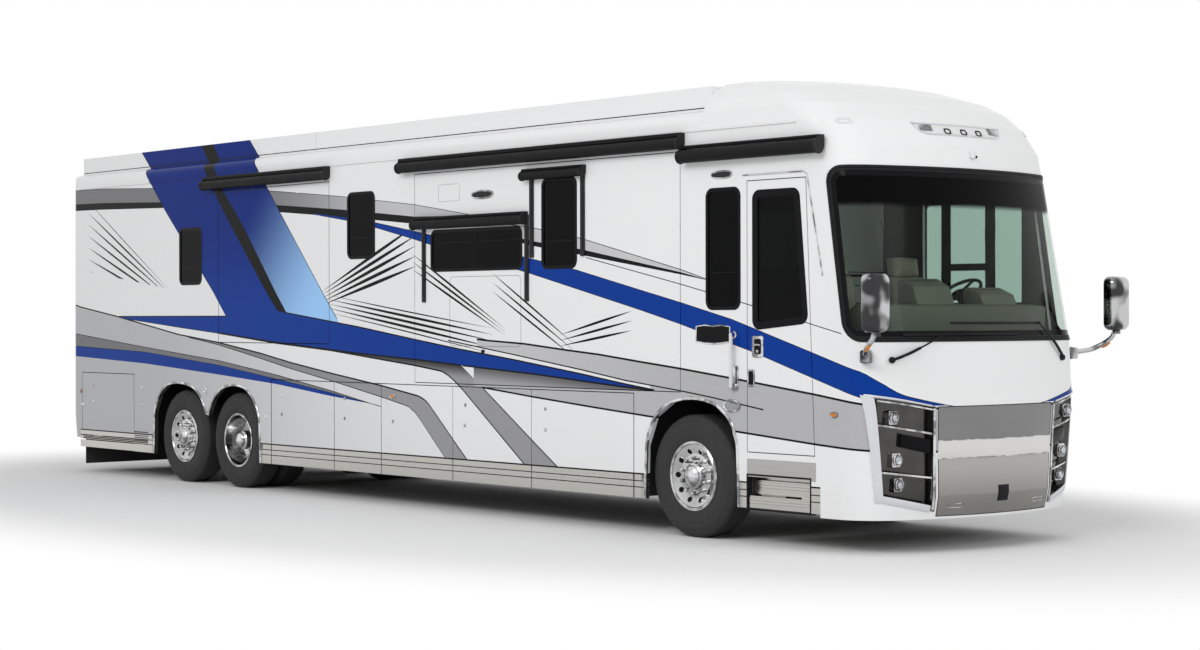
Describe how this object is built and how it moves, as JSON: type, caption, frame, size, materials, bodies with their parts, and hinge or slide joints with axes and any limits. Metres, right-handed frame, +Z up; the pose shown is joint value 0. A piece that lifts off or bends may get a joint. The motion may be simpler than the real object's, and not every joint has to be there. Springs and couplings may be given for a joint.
{
  "type": "motorhome",
  "caption": "Diesel motorhome with steered front wheels, twin drive wheels and a tag axle, opening doors and lids, a pull-out step and rooms that slide out of both sides.",
  "frame": {"origin": "on the ground below the middle of the overall box", "axes": "+X forward, +Y to the vehicle's left, +Z up"},
  "size_m": [13.806, 3.2, 3.9448],
  "materials": {
    "body_paint": "gloss",
    "roof_white": "satin",
    "frame_black": "satin",
    "engine_grey": "rough",
    "axle_iron": "satin",
    "bright": "polished",
    "wheel_alloy": "polished",
    "tyre": "matt",
    "tinted_glass": "polished",
    "clear_glass": "polished",
    "lamp": "polished",
    "trim_black": "satin",
    "awning_cloth": "matt",
    "awning_white": "gloss",
    "cab_plastic": "matt",
    "seat_leather": "soft",
    "unit_white": "gloss",
    "flap_rubber": "matt",
    "floor_grey": "satin",
    "silver_paint": "metallic",
    "step_steel": "brushed"
  },
  "bodies": {
    "coach": {"axles": "axle_iron", "basement": "floor_grey", "bright_trims": "bright", "cab_seats": "seat_leather", "cabin_floor": "floor_grey", "cross_members": "frame_black", "dashboard": "cab_plastic", "engine_block": "engine_grey", "frame_rails": "frame_black", "front_cap": "body_paint", "lamps": "lamp", "mirrors": "bright", "mud_flap": "flap_rubber", "rear_cap": "body_paint", "rear_room_base": "floor_grey", "roof_awnings": "awning_white", "roof_panel": "roof_white", "rooftop_units": "unit_white", "side_glass": "tinted_glass", "side_wall_left": "body_paint", "side_wall_right": "body_paint", "slide_toppers": "awning_cloth", "windshield": "clear_glass", "wipers": "trim_black"},
    "entry_door": {"entry_door": "body_paint", "entry_door_glass": "tinted_glass"},
    "entry_steps": {"entry_steps": "step_steel"},
    "engine_door": {"engine_door": "body_paint"},
    "front_hood": {"front_hood": "silver_paint"},
    "slide_room_right_front": {"slide_room_right_front": "body_paint", "slide_glass_right": "tinted_glass", "window_awnings": "awning_cloth"},
    "slide_room_right_rear": {"slide_room_right_rear": "body_paint"},
    "slide_room_left": {"slide_room_left": "body_paint", "slide_glass_left": "tinted_glass"},
    "steering_wheel": {"steering_wheel": "trim_black"},
    "knuckle_left": {"knuckle_left": "axle_iron"},
    "knuckle_right": {"knuckle_right": "axle_iron"},
    "rear_service_door_right": {"rear_service_door_right": "body_paint"},
    "rear_service_door_left": {"rear_service_door_left": "body_paint"},
    "wheel_front_left": {"tyre_front_left": "tyre", "rim_front_left": "wheel_alloy"},
    "wheel_front_right": {"tyre_front_right": "tyre", "rim_front_right": "wheel_alloy"},
    "wheel_drive_left": {"tyre_drive_left": "tyre", "rim_drive_left": "wheel_alloy"},
    "wheel_drive_right": {"tyre_drive_right": "tyre", "rim_drive_right": "wheel_alloy"},
    "wheel_tag_left": {"tyre_tag_left": "tyre", "rim_tag_left": "wheel_alloy"},
    "wheel_tag_right": {"tyre_tag_right": "tyre", "rim_tag_right": "wheel_alloy"},
    "baggage_door_left_1": {"baggage_door_left_1": "body_paint"},
    "baggage_door_left_2": {"baggage_door_left_2": "body_paint"},
    "baggage_door_left_3": {"baggage_door_left_3": "body_paint"},
    "baggage_door_right_1": {"baggage_door_right_1": "body_paint"},
    "baggage_door_right_2": {"baggage_door_right_2": "body_paint"},
    "baggage_door_right_3": {"baggage_door_right_3": "body_paint"},
    "baggage_door_right_4": {"baggage_door_right_4": "body_paint"},
    "baggage_door_right_5": {"baggage_door_right_5": "body_paint"}
  },
  "joints": [
    {"name": "knuckle_left_steer", "type": "hinge", "parent": "coach", "child": "knuckle_left", "pos_m": [4.49, 0.95, 0.522], "axis": [0, 0, 1], "range_deg": [-40, 40]},
    {"name": "wheel_front_left_spin", "type": "hinge", "parent": "knuckle_left", "child": "wheel_front_left", "pos_m": [4.49, 1.095, 0.522], "axis": [0, 1, 0], "continuous": true},
    {"name": "wheel_drive_left_spin", "type": "hinge", "parent": "coach", "child": "wheel_drive_left", "pos_m": [-2.955, 0.9235, 0.522], "axis": [0, 1, 0], "continuous": true},
    {"name": "wheel_tag_left_spin", "type": "hinge", "parent": "coach", "child": "wheel_tag_left", "pos_m": [-4.132, 1.095, 0.522], "axis": [0, 1, 0], "continuous": true},
    {"name": "knuckle_right_steer", "type": "hinge", "parent": "coach", "child": "knuckle_right", "pos_m": [4.49, -0.95, 0.522], "axis": [0, 0, 1], "range_deg": [-40, 40]},
    {"name": "wheel_front_right_spin", "type": "hinge", "parent": "knuckle_right", "child": "wheel_front_right", "pos_m": [4.49, -1.095, 0.522], "axis": [0, 1, 0], "continuous": true},
    {"name": "wheel_drive_right_spin", "type": "hinge", "parent": "coach", "child": "wheel_drive_right", "pos_m": [-2.955, -0.9235, 0.522], "axis": [0, 1, 0], "continuous": true},
    {"name": "wheel_tag_right_spin", "type": "hinge", "parent": "coach", "child": "wheel_tag_right", "pos_m": [-4.132, -1.095, 0.522], "axis": [0, 1, 0], "continuous": true},
    {"name": "steering_wheel_turn", "type": "hinge", "parent": "coach", "child": "steering_wheel", "pos_m": [5.8, 0.65, 2.06], "axis": [-0.5736, 0, 0.8191], "range_deg": [-400, 400]},
    {"name": "entry_door_swing", "type": "hinge", "parent": "coach", "child": "entry_door", "pos_m": [5.982, -1.2825, 0.765], "axis": [-0.0431, 0, 0.9991], "range_deg": [0, 95]},
    {"name": "baggage_door_right_1_swing", "type": "hinge", "parent": "coach", "child": "baggage_door_right_1", "pos_m": [-0.959, -1.2825, 0.75], "axis": [0, 0, 1], "range_deg": [0, 88]},
    {"name": "baggage_door_right_2_swing", "type": "hinge", "parent": "coach", "child": "baggage_door_right_2", "pos_m": [-0.104, -1.2825, 0.75], "axis": [0, 0, 1], "range_deg": [0, 88]},
    {"name": "baggage_door_right_3_swing", "type": "hinge", "parent": "coach", "child": "baggage_door_right_3", "pos_m": [1.109, -1.2825, 0.75], "axis": [0, 0, 1], "range_deg": [0, 88]},
    {"name": "baggage_door_right_4_swing", "type": "hinge", "parent": "coach", "child": "baggage_door_right_4", "pos_m": [2.333, -1.2825, 0.75], "axis": [0, 0, 1], "range_deg": [0, 88]},
    {"name": "baggage_door_right_5_swing", "type": "hinge", "parent": "coach", "child": "baggage_door_right_5", "pos_m": [3.773, -1.2825, 0.75], "axis": [0, 0, 1], "range_deg": [0, 88]},
    {"name": "baggage_door_left_1_swing", "type": "hinge", "parent": "coach", "child": "baggage_door_left_1", "pos_m": [-0.304, 1.2825, 0.75], "axis": [0, 0, -1], "range_deg": [0, 88]},
    {"name": "baggage_door_left_2_swing", "type": "hinge", "parent": "coach", "child": "baggage_door_left_2", "pos_m": [1.646, 1.2825, 0.75], "axis": [0, 0, -1], "range_deg": [0, 88]},
    {"name": "baggage_door_left_3_swing", "type": "hinge", "parent": "coach", "child": "baggage_door_left_3", "pos_m": [3.773, 1.2825, 0.75], "axis": [0, 0, -1], "range_deg": [0, 88]},
    {"name": "rear_service_door_right_swing", "type": "hinge", "parent": "coach", "child": "rear_service_door_right", "pos_m": [-5.231, -1.2825, 0.85], "axis": [0, 0, 1], "range_deg": [0, 100]},
    {"name": "rear_service_door_left_swing", "type": "hinge", "parent": "coach", "child": "rear_service_door_left", "pos_m": [-5.231, 1.2825, 0.85], "axis": [0, 0, -1], "range_deg": [0, 100]},
    {"name": "engine_door_lift", "type": "hinge", "parent": "coach", "child": "engine_door", "pos_m": [-6.845, 0, 1.78], "axis": [0, 1, 0], "range_deg": [0, 80]},
    {"name": "front_hood_lift", "type": "hinge", "parent": "coach", "child": "front_hood", "pos_m": [6.8318, 0, 1.158], "axis": [0, -1, 0], "range_deg": [0, 70]},
    {"name": "slide_room_right_front_out", "type": "slide", "parent": "coach", "child": "slide_room_right_front", "axis": [0, -1, 0], "range_m": [0, 0.55]},
    {"name": "slide_room_right_rear_out", "type": "slide", "parent": "coach", "child": "slide_room_right_rear", "axis": [0, -1, 0], "range_m": [0, 0.55]},
    {"name": "slide_room_left_out", "type": "slide", "parent": "coach", "child": "slide_room_left", "axis": [0, 1, 0], "range_m": [0, 0.55]},
    {"name": "entry_steps_out", "type": "slide", "parent": "coach", "child": "entry_steps", "axis": [0, -1, 0], "range_m": [0, 0.35]}
  ],
  "couplings": [
    {"joint": "knuckle_right_steer", "follows": "knuckle_left_steer", "ratio": 1},
    {"joint": "steering_wheel_turn", "follows": "knuckle_left_steer", "ratio": 10}
  ]
}
